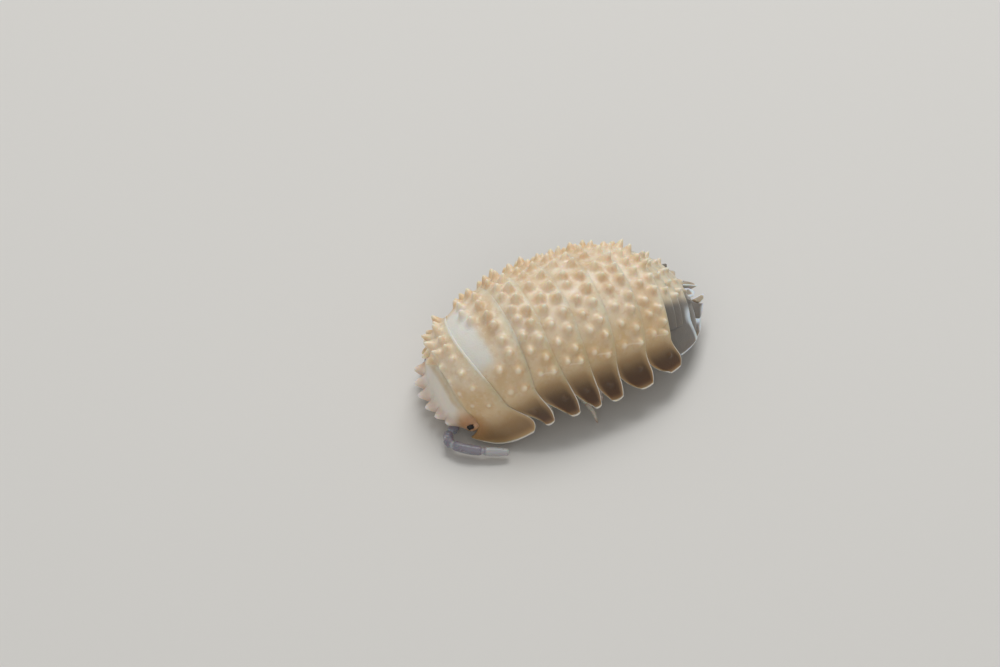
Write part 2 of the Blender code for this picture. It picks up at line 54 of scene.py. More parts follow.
# Seams: their stations over the back, how far each sweeps to the tail down the side, and over which |u|
SEAMS = (1.25, 2.33, 3.03, 3.61, 4.34, 5.08, 5.9, 6.66)
SEAM_SWEEPS = (0.38, 0.15, -0.03, 0.3, 0.15, 0.0, 0.0, 0.1)
SWEEPS_OVER = ((0.42, 0.76), (0.0, 1.0), (0.1, 0.8)) + ((0.45, 1.0),) * 5
LOBE_HOOKS, HOOKS_FROM = (0.0, 0.38, 0.3, 0.03, 0.05, 0.06, 0.18, 0.34), 0.7
TAIL_SEAMS = (6.88, 7.08, 7.37, 7.64, 7.89)
TAIL_SWEEPS = (0.0, 0.0, 0.43, 0.47, 0.33)
TAIL_SWEEPS_OVER = ((0, 1), (0, 1), (0.5, 0.92), (0.3, 0.78), (0.14, 0.46))
TAIL_STEP_OVER = (0.58, 0.67)

# Lobes of the seven shell plates: cut back at the front and the rear, and lifted at both corners
LOBE_ROOT, LOBE_TIP = 0.76, 0.88
FRONT_TRIMS = (-0.38, 0.05, 0.26, 0.28, 0.18, 0.4, 0.36)
REAR_TRIMS = (0.0, 0.02, -0.04, -0.02, -0.06, -0.04, 0.02)
FRONT_LIFTS = (0.05, 0.08, 0.06, 0.08, 0.05, 0.05, 0.08)
REAR_LIFTS = (0.03, 0.06, 0.08, 0.08, 0.08, 0.05, 0.0)

# Edges of a plate. The first row is of one that laps under the plate before it, the second of the first
# plate: how far it is tucked in, how deep its collar is, the power of its front trim, how much a lobe
# shortens at its tip, about which share of its length, and how deep its front sinks into the head.
LAPPED_EDGES = (0.12, 0.03, 2.5, 0.3, 0.4, 0.0)
FIRST_EDGES = (0.0, 0.0, 1.6, 0.12, 0.1, 0.05)
EDGE_ROOM = 0.03  # from the seam's middle to each plate
COLLAR_LENGTH = 0.22
RIM_RISE, RIM_REACH = 0.01, 0.04
RIM_CURL = (0.35, 0.7, 1.0)  # how far each of the last rows has turned under
RIM_TURNS_BACK, RIM_TURNS_IN = 0.02, 0.05
INNER_FRONT, INNER_REAR = 0.1, 0.06  # how far inside its edges a plate's inner face starts and ends
SIDE_SINK = 0.05
ENDS_ON_BACK = 0.65  # a plate of a shorter reach has no hem

# Spines
SPIKE_HEIGHT, SPIKE_RADIUS = 0.24, 0.2
REAR_ROW, LOBE_SPINE = 0.2, 0.28  # from the rear seam
TAIL_SPIKE_HEIGHTS, TAIL_SPIKE_RADIUS = (0.17, 0.15, 0.12, 0.08, 0.04), 0.14

# Tail: how far the plates reach down, where their grey starts and is full (partly their own grey, deepening
# to a painted shade down the sides), and where their rear rims start
TAIL_REACHES = (0.64, 0.64, 0.92, 0.92, 0.68)
TAIL_GREY_OVER = ((0.28, 0.44), (0.26, 0.42), (0.2, 0.4), (0.05, 0.3), (-0.1, 0.2))
TAIL_RIMS_FROM = (0.9, 0.9, 0.3, 0.3, 0.3)
# Leaves at its end: node, right and left u, last station, thickness, how far it stands out, how far behind
# the last seam it starts, and where its pale border starts and how wide it is, as shares of the leaf
TAIL_LEAVES = (
    ("telson", -0.1, 0.1, 8.1, 0.2, 0.0, -0.015, 0.3, 0.5),
    ("uropod_left", 0.15, 0.3, 8.28, 0.14, 0.04, 0.033, 0.6, 0.36),
    ("uropod_right", -0.3, -0.15, 8.28, 0.14, 0.04, 0.033, 0.6, 0.36),
)
LEAF_ROUNDING = (0.05, 0.02)
LEAF_SKIN = 0.02  # of the bulge above, and of the thickness at the edges

# Head and eyes. A share runs over the head from -1 at its right end to 1 at its left end.
HEAD_REACH, HEAD_INSIDE = 0.76, 0.25  # down the first plate's sides, and back inside it
CHEEK_FROM, CHEEK_DIPS = 0.75, (0.08, 0.1)  # how deep the rim and the neck dip under the cheeks
BROW_HALF_WIDTH, BROW_AT, BROW_SWEEP, BROW_TURN, BROW_HEIGHT = 1.27, 0.9, 0.4, 0.04, 0.42
CROWN_BULGE = (0.28, 0.08)  # forward and up
FACE_HEIGHT = 0.17
HEAD_ROWS = (10, 12, 14, 14, 14, 16, 10, 12, 12, 16)  # from each corner of the outline to the next
NECK, BROW = 1, 6  # their places among those corners
HEAD_ROUNDINGS = 10
CHEEK_BULGE = (0.17, 0.1)  # sideways and back
# Share and length of each spine on the brow
BROW_SPIKES = ((-0.79, 0.41), (-0.48, 0.42), (-0.17, 0.42), (0.15, 0.4), (0.42, 0.35), (0.66, 0.28))
BROW_SPIKE_RADIUS = 0.34
EYE_SHARE = 0.7  # of the way from neck to brow
EYE_SPOTS = [(side * 1.36, BASE_Y + 1.33, 0.45) for side in (-1, 1)]  # what tints the plate beside them
EYE_CUSHION = (0.066, 0.1, 0.04)  # half axes
LENS, LENS_PITCH = (0.018, 0.018, 0.016), (0.036, 0.031)
LENS_ROWS = ((-1.5, 4), (-0.5, 5), (0.5, 6), (1.5, 5))  # place across the eye and number of lenses

# Feelers and legs: (x, station, height) along each feeler, and each limb's radii at shares of its length
LEFT_FEELER = (
    (0.92, 1.1, 0.3), (1.02, 0.88, 0.26), (1.12, 0.76, 0.27), (1.26, 0.68, 0.3), (1.47, 0.72, 0.32),
    (1.72, 0.93, 0.32), (1.97, 1.26, 0.3), (2.14, 1.57, 0.28), (2.32, 1.93, 0.25),
)
RIGHT_FEELER = (
    (-0.98, 1.2, 0.24), (-1.12, 1.16, 0.19), (-1.3, 1.2, 0.18), (-1.5, 1.38, 0.18),
    (-1.72, 1.62, 0.17), (-1.93, 1.95, 0.16), (-2.08, 2.25, 0.14),
)
FEELER_JOINTS = (0.0, 0.12, 0.23, 0.35, 0.7, 1.0)
FEELER_RADII = (0.115, 0.12, 0.12, 0.12, 0.115, 0.09)
FEELER_TIP, LEG_TIP = 0.7, 0.93
LEG_STATIONS = (2.0, 2.7, 3.33, 3.99, 4.74, 5.52, 6.2)
LEG_SPREAD = (0.1, -0.05, 0.25, 0.1, 0.12, 0.2, 0.36)
FOOT_SIDEWAYS = (0.8, 1.45, 1.7, 1.7, 1.7, 1.6, 1.45)
FOOT_HEIGHT = 0.03
REACHING_FOOT = (2.31, BASE_Y + 4.43, FOOT_HEIGHT)  # of the fourth leg on the left
REACHING_ANKLE = (2.04, BASE_Y + 4.38, 0.36)
LEG_JOINTS = (0.0, 0.2, 0.42, 0.58, 0.74, 0.92, 1.0)
LEG_RADII = (0.14, 0.12, 0.1, 0.085, 0.07, 0.045, 0.018)
LIMB_RINGS, LIMB_SIDES = 90, 20

# How a shell plate is drawn, in the words of plate_marks. The first plate has a broad pale margin, partly its
# clear edge and partly a painted highlight, and soft lobes, and the second a bare glassy zone where it slides
# under the first.
PLAIN_PLATE = {
    "hem_line": 0.07, "rear_line": 0.05, "sides_from": 0.66, "lobe_front": 0.7, "front_rim": 1.0,
    "skirt_over": (0.57, 0.93), "skirt_depth": 1.0, "margin": (0.15, 0.05, 0.3, 0.5), "ridge": 0.45,
    "bare": (-0.1, 0.5, 0.7), "inner_rim": 0.6,
}
FIRST_PLATE = PLAIN_PLATE | {
    "lobe_front": 0.0, "front_rim": 0.25, "skirt_over": (0.63, 0.96), "skirt_depth": 0.65,
    "margin": (1.2, 0.1, 0.3, 0.55), "ridge": 0.0, "bare": (-0.25, 0.5, 0.7), "inner_rim": 0.1,
}
SECOND_PLATE = PLAIN_PLATE | {
    "skirt_over": (0.63, 0.96), "margin": (0.2, 0.05, 0.3, 0.5), "ridge": 0.0, "bare": (0.36, 0.26, 0.46),
}
TAIL_PLATE = PLAIN_PLATE | {"hem_line": 0.06, "rear_line": 0.3, "margin": (0.3, 0.06, 0.4, 0.5), "ridge": 0.0}


# ---------------------------------------------------------------- the body's form


def smooth(t):
    """3t^2 - 2t^3 with t held between 0 and 1."""
    t = np.clip(t, 0.0, 1.0)
    return t * t * (3 - 2 * t)


def rise(value, start, end):
    """The smooth step of a value: 0 up to start, 1 from end on."""
    return smooth((value - start) / (end - start))


def fade(value, start, end):
    """1 less the smooth step: 1 up to start, 0 from end on."""
    return 1 - rise(value, start, end)


def arch(s, peak, front, rear):
    """(1 - (distance from peak / reach) ^ power) ^ rounding, with its own three values each way."""
    reach, power, rounding = (np.where(s < peak, f, r) for f, r in zip(front, rear))
    return (1 - np.minimum(np.abs((s - peak) / reach), 0.999) ** power) ** rounding


def half_width(s):
    """Half the body's width over the hems: its greatest value times the arch."""
    return HALF_WIDTH * arch(s, WIDEST_AT, WIDTH_FRONT, WIDTH_REAR)


def back_height(s):
    """Height of the back over the hem line: its greatest value times the arch, and never under the tail's."""
    return np.maximum(BACK_HEIGHT * arch(s, HIGHEST_AT, HEIGHT_FRONT, HEIGHT_REAR), TAIL_HEIGHT)


def place(s, lateral, height):
    """A point of the section at s: up from the hem line by height, along a direction that leans to the
    tail by the lean at s. The hem line drops to the head by a smooth step and to the tail by the square of
    the distance from the widest station."""
    s, lateral, height = np.broadcast_arrays(s, lateral, height)
    lean = np.radians(np.interp(s, LEAN_STATIONS, LEAN_DEGREES))
    bowed = HEM_DROP_HEAD * rise(s, *HEM_DROP_SPAN)
    hem = HEM_CLEARANCE - bowed - HEM_DROP_TAIL * np.maximum(s - WIDEST_AT, 0) ** 2
    return np.stack([lateral, BASE_Y + s + height * np.sin(lean), hem + height * np.cos(lean)], -1)


def skirt_share(size):
    """0 over the dome, then evenly to 1 at the hem."""
    return np.clip((size - DOME_SHARE) / (1 - DOME_SHARE), 0, 1)


def outer_section(s, u, swell=0.0):
    """Lateral place and height of the outer face. Over the dome they follow a circular arch: sine and
    cosine of an angle that grows evenly with |u|. Down the skirt the place goes out by the skirt's share
    to the power SKIRT_BEND, plus a flare with its square, and the height falls evenly to 0."""
    size = np.abs(u)
    width, top = half_width(s) + swell, back_height(s) + swell
    angle = DOME_END_ANGLE * np.minimum(size / DOME_SHARE, 1)
    lateral = SKIRT_ROOT_WIDTH * np.sin(angle) / math.sin(DOME_END_ANGLE)
    height = 1 - (1 - SKIRT_ROOT_HEIGHT) * (1 - np.cos(angle)) / (1 - math.cos(DOME_END_ANGLE))
    down = skirt_share(size)
    lateral = lateral + (1 - SKIRT_ROOT_WIDTH) * down**SKIRT_BEND
    return np.sign(u) * (lateral * width + HEM_FLARE * down**2), (height - SKIRT_ROOT_HEIGHT * down) * top


def inner_section(s, u):
    """Lateral place and height of the inner face: a level belly between the skirts, then the outer face
    less the skirt's thickness, which falls from its root to the hem by the share to the power SKIRT_TAPER."""
    size = np.abs(u)
    width, top = half_width(s), back_height(s)
    outer_lateral, outer_height = outer_section(s, size)
    root = SKIRT_THICKNESS * width / HALF_WIDTH
    thick = root + (HEM_THICKNESS - root) * skirt_share(size) ** SKIRT_TAPER
    belly = np.minimum(BELLY_HEIGHT * top, SKIRT_ROOT_HEIGHT * top - BELLY_ROOM)
    edge = np.minimum(BELLY_WIDTH * width, SKIRT_ROOT_WIDTH * width - root)
    lateral = np.where(size < DOME_SHARE, size / DOME_SHARE * edge, outer_lateral - thick)
    height = np.where(size < DOME_SHARE, belly, np.minimum(belly, outer_height))
    return np.sign(u) * lateral, height


def hem_share(u):
    """0 over the back, then evenly from the root of a lobe to 1 at the hem."""
    return np.clip((np.abs(u) - LOBE_ROOT) / (1 - LOBE_ROOT), 0, 1)


def thorax_seam(index, u):
    """The seam behind shell plate index: its station, plus its sweep times a smooth step of |u|, plus the
    hook of the lobe's corner times another."""
    size = np.abs(u)
    seam = SEAMS[index] + SEAM_SWEEPS[index] * rise(size, *SWEEPS_OVER[index])
    return seam + LOBE_HOOKS[index] * rise(size, HOOKS_FROM, 1.0)


def tail_seam(index, u):
    """The seam behind tail plate index: its station, plus its sweep times a smooth step of |u|. The second
    one steps forward to the last shell plate by another."""
    size = np.abs(u)
    seam = TAIL_SEAMS[index - 1] + TAIL_SWEEPS[index - 1] * rise(size, *TAIL_SWEEPS_OVER[index - 1])
    if index == 2:
        seam = seam + rise(size, *TAIL_STEP_OVER) * (thorax_seam(7, u) - seam)
    return seam


def back_point(s, u, swell=0.0):
    """The point of the back at s and u, with the section grown by swell."""
    return place(s, *outer_section(s, u, swell))


def back_axes(s, u):
    """Outward and tailward unit vectors of the back at a point, from its two slopes."""
    step = 0.02
    tailward = back_point(s + step, u) - back_point(s - step, u)
    across = back_point(s, u + step) - back_point(s, u - step)
    outward = np.cross(across, tailward)
    return outward / np.linalg.norm(outward), tailward / np.linalg.norm(tailward)


def back_stretch(s):
    """How much longer the back is than the base line at s: 1 plus the back's height times the turn of the
    lean along the base line, and never under a half."""
    step = 0.05
    turn = np.interp(s + step, LEAN_STATIONS, LEAN_DEGREES) - np.interp(s, LEAN_STATIONS, LEAN_DEGREES)
    return np.maximum(1 + back_height(s) * np.radians(turn) / step, 0.5)


# ---------------------------------------------------------------- meshes


def quad_grid(index):
    """Quads between neighbouring entries of a 2-D array of vertex numbers."""
    return np.stack([index[:-1, :-1], index[:-1, 1:], index[1:, 1:], index[1:, :-1]], -1).reshape(-1, 4)


def ringed_grid(rings, sides):
    """Quads between rings of points, each ring closed."""
    index = np.arange(rings * sides).reshape(rings, sides)
    return quad_grid(np.concatenate([index, index[:, :1]], axis=1))


def slab(outer, inner):
    """Points and quads of a closed slab between two grids of one shape."""
    rows, columns = outer.shape[:2]
    top = np.arange(rows * columns).reshape(rows, columns)
    low = top + rows * columns
    walls = [
        np.stack([top[0], low[0]]), np.stack([low[-1], top[-1]]),
        np.stack([low[:, 0], top[:, 0]]), np.stack([top[:, -1], low[:, -1]]),
    ]
    faces = [quad_grid(top), quad_grid(low)[:, ::-1]] + [quad_grid(wall)[:, ::-1] for wall in walls]
    return np.concatenate([outer.reshape(-1, 3), inner.reshape(-1, 3)]), np.concatenate(faces)


def slab_marks(shape, **marks):
    """Each mark over all of a slab's points, from its values on the outer grid and on the inner one."""
    return {
        name: np.concatenate([np.broadcast_to(values, shape).ravel() for values in pair])
        for name, pair in marks.items()
    }


def rounded_path(corners, count):
    """count points along a smooth curve through the corners: in each span a cubic that leaves and
    arrives along half the line between the corners before and behind (Catmull-Rom)."""
    corners = np.asarray(corners, float)
    ends = np.concatenate([2 * corners[:1] - corners[1:2], corners, 2 * corners[-1:] - corners[-2:-1]])
    t = np.linspace(0, len(corners) - 1, count)
    k = np.minimum(t.astype(int), len(corners) - 2)
    t = (t - k)[:, None]
    a, b, c, d = (ends[k + n] for n in range(4))
    return 0.5 * (2 * b + (c - a) * t + (2 * a - 5 * b + 4 * c - d) * t**2 + (3 * b - a - 3 * c + d) * t**3)


def tube(path, radii, sides):
    """Rings square to a path: a point of a ring is the path's plus its radius times the cosine and sine of
    an even angle along two directions square to the path."""
    along = np.gradient(path, axis=0)
    along /= np.linalg.norm(along, axis=1, keepdims=True)
    side = np.cross(along, np.array([0.06, 0.08, 0.995]))
    side /= np.linalg.norm(side, axis=1, keepdims=True)
    other = np.cross(along, side)
    angle = np.arange(sides) * math.tau / sides
    rings = (
        path[:, None]
        + radii[:, None, None] * np.cos(angle)[None, :, None] * side[:, None]
        + radii[:, None, None] * np.sin(angle)[None, :, None] * other[:, None]
    )
    return rings.reshape(-1, 3), ringed_grid(len(path), sides)


def bead(middle, axes, sides, rings):
    """An ellipsoid with three half axes: cosine of latitude times cosine and sine of longitude along the
    first two, sine of latitude along the third, with a tiny ring at both poles."""
    latitude = np.linspace(-0.49, 0.49, rings)[:, None] * math.pi
    longitude = np.arange(sides)[None] * math.tau / sides
    across, along, up = axes
    points = (
        middle
        + np.multiply.outer(np.cos(latitude) * np.cos(longitude), across)
        + np.multiply.outer(np.cos(latitude) * np.sin(longitude), along)
        + np.multiply.outer(np.sin(latitude) * np.ones_like(longitude), up)
    )
    return points.reshape(-1, 3), ringed_grid(rings, sides)


def merged(parts):
    """Several (points, quads) as one."""
    starts = np.cumsum([0] + [len(points) for points, _ in parts[:-1]])
    faces = [part_faces + start for (_, part_faces), start in zip(parts, starts)]
    return np.concatenate([points for points, _ in parts]), np.concatenate(faces)


def turned_out(points, faces):
    """The quads, all turned the other way if they enclose a negative volume."""
    a, b, c, d = (points[faces[:, k]] for k in range(4))
    volume = np.einsum("ij,ij->i", a, np.cross(b, c) + np.cross(c, d)).sum()
    return faces if volume > 0 else faces[:, ::-1]


def nearest(points, spots):
    """The distance from each point to the nearest of a few spots."""
    return np.min([np.linalg.norm(points - spot, axis=-1) for spot in spots], axis=0)


def piece(node, points, faces, look, slot, **marks):
    """The smooth-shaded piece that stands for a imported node, from millimetre points and quads. marks are
    values at its points that its material reads."""
    faces = turned_out(points, faces)
    mesh = bpy.data.meshes.new(node + "_look")
    mesh.vertices.add(len(points))
    mesh.vertices.foreach_set("co", (np.asarray(points) * MM).ravel().astype(np.float32))
    mesh.loops.add(faces.size)
    mesh.loops.foreach_set("vertex_index", faces.ravel().astype(np.int32))
    mesh.polygons.add(len(faces))
    mesh.polygons.foreach_set("loop_start", np.arange(0, faces.size, 4, dtype=np.int32))
    mesh.update(calc_edges=True)
    mesh.validate()
    mesh.polygons.foreach_set("use_smooth", np.ones(len(mesh.polygons), bool))
    for mark, values in marks.items():
        attribute = mesh.attributes.new(mark, "FLOAT", "POINT")
        attribute.data.foreach_set("value", np.asarray(values, np.float32).ravel())
    obj = bpy.data.objects.new(node + "_look", mesh)
    bpy.context.scene.collection.objects.link(obj)
    mesh.materials.append(look)
    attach(obj, "root")
    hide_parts(node)


# ---------------------------------------------------------------- finishes

GLOSS_CLOUDS = 0.3  # size of the clouds that the roughness follows


def linear(hex_colour):
    """sRGB hex to linear RGBA."""
    channels = [int(hex_colour[k : k + 2], 16) / 255 for k in (1, 3, 5)]
    return [c / 12.92 if c <= 0.04045 else ((c + 0.055) / 1.055) ** 2.4 for c in channels] + [1.0]


def add(made, kind, links=(), **settings):
    """One node: settings are its properties or input values, links are (input, output socket)."""
    node = made.node_tree.nodes.new(kind)
    for name, value in settings.items():
        if name in node.bl_rna.properties:
            setattr(node, name, value)
        else:
            node.inputs[int(name[1:]) if name[1:].isdigit() else name.replace("_", " ")].default_value = value
    for socket, source in links:
        made.node_tree.links.new(source, node.inputs[socket])
    return node


def finish(name, ground, coats=(), roughness=(0.4, 0.4), grain=(0.05, 0.0), **sockets):
    """A Principled material: coats of colour over a ground.

    A coat is (where, low, high, amount, colour): it is there by amount times the smooth step from low to
    high of where, which is a mark kept on the mesh, or the size in millimetres of a noise cloud. Roughness
    runs between its two values with clouds, and grain is the size and depth of a fine unevenness."""
    made = bpy.data.materials.new(name)
    made.use_nodes = True
    shader = made.node_tree.nodes["Principled BSDF"]
    shader.inputs["Base Color"].default_value = linear(ground)
    for socket, value in sockets.items():
        shader.inputs[socket.replace("_", " ")].default_value = value
    spot = add(made, "ShaderNodeTexCoord").outputs["Object"]
    sources = {}
    for where in [coat[0] for coat in coats] + [GLOSS_CLOUDS, grain[0]]:
        if where in sources:
            continue
        if isinstance(where, str):
            sources[where] = add(made, "ShaderNodeAttribute", attribute_name=where).outputs["Fac"]
        else:
            sources[where] = add(
                made, "ShaderNodeTexNoise", [("Vector", spot)], Scale=1 / (where * MM), Detail=3.0
            ).outputs["Fac"]
    link = made.node_tree.links.new
    body = None
    for where, low, high, amount, colour in coats:
        share = add(
            made, "ShaderNodeMapRange", [("Value", sources[where])], interpolation_type="SMOOTHSTEP",
            From_Min=low, From_Max=high, To_Max=amount,
        )
        mix = add(made, "ShaderNodeMix", [(0, share.outputs[0])], data_type="RGBA", _7=linear(colour))
        if body is None:
            mix.inputs[6].default_value = linear(ground)
        else:
            link(body, mix.inputs[6])
        body = mix.outputs[2]
    if body is not None:
        link(body, shader.inputs["Base Color"])
    gloss = add(
        made, "ShaderNodeMapRange", [("Value", sources[GLOSS_CLOUDS])],
        From_Min=0.35, From_Max=0.65, To_Min=roughness[0], To_Max=roughness[1],
    )
    link(gloss.outputs[0], shader.inputs["Roughness"])
    if grain[1] > 0:
        height = sources[grain[0]]
        bump = add(made, "ShaderNodeBump", [("Height", height)], Strength=1.0, Distance=grain[1] * MM)
        link(bump.outputs["Normal"], shader.inputs["Normal"])
    return made


# ---------------------------------------------------------------- plates


def both_sides(*places):
    """The same places on the right and on the left, with a 0 kept once."""
    return sorted({side * p for p in places for side in (-1, 1)})


def raise_spines(points, spines):
    """A spine is (root, way, height, radius): it lifts the surface along way by height * e^-(1.8 d/r)^2.2,
    where d is the distance from its root. The highest counts where two meet. Returns the share too."""
    best = np.zeros(points.shape[:2])
    share = np.zeros(points.shape[:2])
    ways = np.zeros(points.shape)
    for root, way, height, radius in spines:
        lift = np.exp(-((1.8 * np.linalg.norm(points - root, axis=-1) / radius) ** 2.2))
        taller = height * lift > best
        best = np.where(taller, height * lift, best)
        share = np.where(taller, lift, share)
        ways = np.where(taller[..., None], way, ways)
    return points + best[..., None] * ways, share


def plate_spines(rows, rng):
    """Spines along rows of (station, places, height, radius, tilt to the tail), a little scattered. Down
    the left side they are more worn: height * (1 - half of the smooth step of u from 0.1 to 0.5)."""
    made = []
    for station, places, height, radius, tilt in rows:
        for u in np.array(places):
            s = float(station(u)) + rng.uniform(-0.035, 0.035)
            u = u + rng.uniform(-0.018, 0.018)
            outward, tailward = back_axes(s, u)
            way = outward + (tilt + rng.uniform(-0.15, 0.15)) * tailward
            tall = height * rng.uniform(0.72, 1.2) * (1 - 0.5 * rise(u, 0.1, 0.5))
            made.append((back_point(s, u, 0.02), way, tall, radius * rng.uniform(0.85, 1.12)))
    return made


def plate_shape(front, rear, u, row_count, edges, trims, lifts):
    """Stations, shares of the way back, and the outer and inner grids of a plate between two seams.

    Over the back the outer face starts tucked in under the plate before, climbs a shallow collar by a
    smooth step, runs level, and ends in a rim that rises a little, reaches over the next collar and turns
    under in its last rows. All of this fades out down the lobe. There both edges are trimmed by the hem's
    share to a power, and the corners lift by |2 share - 1|^2.6. From LOBE_TIP down a lobe shortens about
    its anchor by t^2.5 of what its edges say, so that its corners are round. The front of the first plate
    sinks into the head, and so do the sides of a plate that ends on the back, over the last 0.05 of u."""
    tuck, collar, trim_power, shortening, anchor_at, front_sink = edges
    size, reach = np.abs(u)[None], u[-1]
    hem = hem_share(u)[None]
    back = 1 - hem
    share = np.concatenate([np.linspace(0, 1, row_count), np.ones(len(RIM_CURL))])[:, None]
    curl = np.concatenate([np.zeros(row_count), RIM_CURL])[:, None]
    start = front(u)[None] + EDGE_ROOM - tuck * back + trims[0] * hem**trim_power
    stop = rear(u)[None] - EDGE_ROOM + RIM_REACH * back - trims[1] * hem**2
    kept = 1 - shortening * np.clip((size - LOBE_TIP) / (1 - LOBE_TIP), 0, 1) ** 2.5
    anchor = start + anchor_at * (stop - start)
    s = anchor + (start + (stop - start) * share - anchor) * kept - RIM_TURNS_BACK * curl * back
    swell = RIM_RISE * smooth(share * 1.2) - collar * fade(s - start, 0, COLLAR_LENGTH)
    swell = swell - RIM_TURNS_IN * curl - front_sink * fade(share, 0, 0.07)
    swell = swell * back
    if reach < ENDS_ON_BACK:
        swell = swell - SIDE_SINK * rise(size, reach - 0.05, reach)
    lateral, height = outer_section(s, u[None], swell)
    lift = np.where(share < 0.5, lifts[0], lifts[1]) * hem * np.abs(2 * share - 1) ** 2.6
    outer = place(s, lateral, height + lift)
    inner_s = start + INNER_FRONT + (stop - start - INNER_FRONT - INNER_REAR) * share
    inner_s = inner_s * back + s * hem
    inner_lateral, inner_height = inner_section(inner_s, u[None])
    inner = place(inner_s, inner_lateral, inner_height + lift)
    return s, share, outer, inner


def plate_marks(
    outer, lift, u, share, length, hem_line, rear_line, sides_from, lobe_front, front_rim, skirt_over,
    skirt_depth, margin, ridge, bare, inner_rim,
):
    """What a plate's material reads at its points, all from 0 to 1. length is the plate's in millimetres.

    rim is the greatest of five pale lines, which fall by a smooth step from 1 at an edge to 0 at their
    width; the first four are partly the clear edge's own paleness and partly a painted highlight. The first
    runs along the hem, hem_line wide. The second runs along the rear edge, rear_line wide, and comes in over
    0.2 of |u| from sides_from. The third runs along a lobe's front edge, 0.04 wide and lobe_front strong.
    These three have front_rim of their strength at the plate's front, and all of it from a fifth of its
    length on. margin gives the strength and width of the fourth, over the back's rear edge, and the |u|
    between which it fades. ridge is the strength of the fifth, a bell curve of |u| along the skirt's
    root, a painted highlight where a low ridge that is not modelled would catch the light. The inner
    face has inner_rim of all that.

    skirt is skirt_depth times the smooth step of |u| over skirt_over, and on a full plate 0.4 less at a
    lobe's borders, which are 0.22 wide. glassy fades over 0.25 of the way back from bare's first value,
    and between the two |u| after it. flank is the smooth step of |u| from 0.2 to 0.62. flesh fades from
    0.15 to 0.75 around each eye. under is the belly, fading from |u| = 0.62 to 0.74. spine is the share
    that raise_spines gives."""
    size, reach = np.abs(u)[None] + 0 * share, u[-1]
    full = reach == 1
    from_hem = (reach - size) * (3.4 if full else 2.2)
    from_front, from_rear = share * length, (1 - share) * length
    rim = fade(from_hem, 0, hem_line) * (reach > ENDS_ON_BACK)
    rim = np.maximum(rim, fade(from_rear, 0, rear_line) * rise(size, sides_from, sides_from + 0.2))
    rim = np.maximum(rim, lobe_front * fade(from_front, 0, 0.04) * (size >= 0.8))
    rim = rim * (front_rim + (1 - front_rim) * rise(share, 0, 0.2))
    strength, wide, fades_from, fades_to = margin
    rim = np.maximum(rim, strength * (fade(from_rear, 0, wide) * fade(size, fades_from, fades_to)))
    skirt_root = np.exp(-(((size - 0.615 - 0.03 * share) / 0.01) ** 2))
    # the ridge line: a painted highlight standing for a low ridge that is not modelled
    rim = np.maximum(rim, ridge * skirt_root * rise(share, 0.3, 0.45) * fade(share, 0.8, 0.95))
    border = fade(np.minimum(from_hem, np.minimum(from_front, from_rear)), 0, 0.22)
    # skirt tints the lobes amber and, deeper down, paints them dark: a painted shade as though a dark ground
    # showed through them
    skirt = skirt_depth * (rise(size, *skirt_over) * (1 - 0.4 * border * full))
    bare_to, clear_to, gone_at = bare
    glassy = fade(share, bare_to, bare_to + 0.25) * fade(size, clear_to, gone_at)
    flesh = fade(nearest(outer, EYE_SPOTS), 0.15, 0.75)
    flank = rise(size, 0.2, 0.62)
    return slab_marks(
        size.shape, spine=(lift, 0), skirt=(skirt, skirt), flesh=(flesh, flesh), rim=(rim, inner_rim * rim),
        # under paints the inner face and belly darker: painted shade
        glassy=(glassy, 0), flank=(flank, flank), under=(0, fade(size, 0.62, 0.74)),
    )


def build_plate(
    node, front, rear, reach, row_count, rows, seed, look, slot, drawn,
    edges=LAPPED_EDGES, trims=(0, 0), lifts=(0, 0),
):
    """One plate between its seams, down to |u| = reach on both sides: its lapped shape, the spines raised
    from its outer face, and its marks. drawn is what plate_marks takes."""
    columns = int(381 * (0.3 + 0.7 * reach)) | 1
    u = np.linspace(-reach, reach, columns)
    s, share, outer, inner = plate_shape(front, rear, u, row_count, edges, trims, lifts)
    outer, lift = raise_spines(outer, plate_spines(rows, np.random.default_rng(seed)))
    length = (rear(u) - front(u))[None] * back_stretch(s)
    points, faces = slab(outer, inner)
    piece(node, points, faces, look, slot, **plate_marks(outer, lift, u, share, length, **drawn))


def shell_rows(number, front, rear):
    """Rows of spines on a shell plate. A row's station is a share of the way from the front seam to the
    rear row, or a distance behind the front seam. A plate has a rear row, a middle row between that one's
    places, and one spine on each lobe. The first plate has three rows down its right side and two worn
    ones down its left instead, and the middle row of the second leaves the upper left bare."""

    def between(share):
        return lambda u: front(u) + (rear(u) - REAR_ROW - front(u)) * share

    def behind(distance):
        return lambda u: front(u) + distance

    height, radius = SPIKE_HEIGHT, SPIKE_RADIUS
    if number == 1:
        return [
            (between(1.0), (-0.64, -0.51, -0.38, -0.25, -0.12, 0.0), height, radius, 0.3),
            (between(0.94), (0.14, 0.29, 0.45, 0.62), 0.12, 0.17, 0.3),
            (behind(0.22), (-0.64, -0.47, -0.3, -0.12), 0.23, 0.21, 0.0),
            (behind(0.6), (-0.56, -0.4, -0.22, -0.04), 0.23, 0.2, 0.1),
            (behind(0.42), (0.1, 0.26, 0.43, 0.59), 0.1, 0.15, 0.1),
        ]
    middle = (0.4, both_sides(0.06, 0.185, 0.315, 0.445, 0.61))
    if number == 2:
        middle = (0.56, (-0.61, -0.445, -0.315, -0.185, -0.06, 0.445, 0.61))
    return [
        (between(1.0), both_sides(0.0, 0.12, 0.25, 0.38, 0.51, 0.64), height, radius, 0.3),
        (between(middle[0]), middle[1], 0.84 * height, radius, 0.15),
        (lambda u: rear(u) - LOBE_SPINE, both_sides(0.86), 0.35 * height, 0.13, 0.3),
    ]


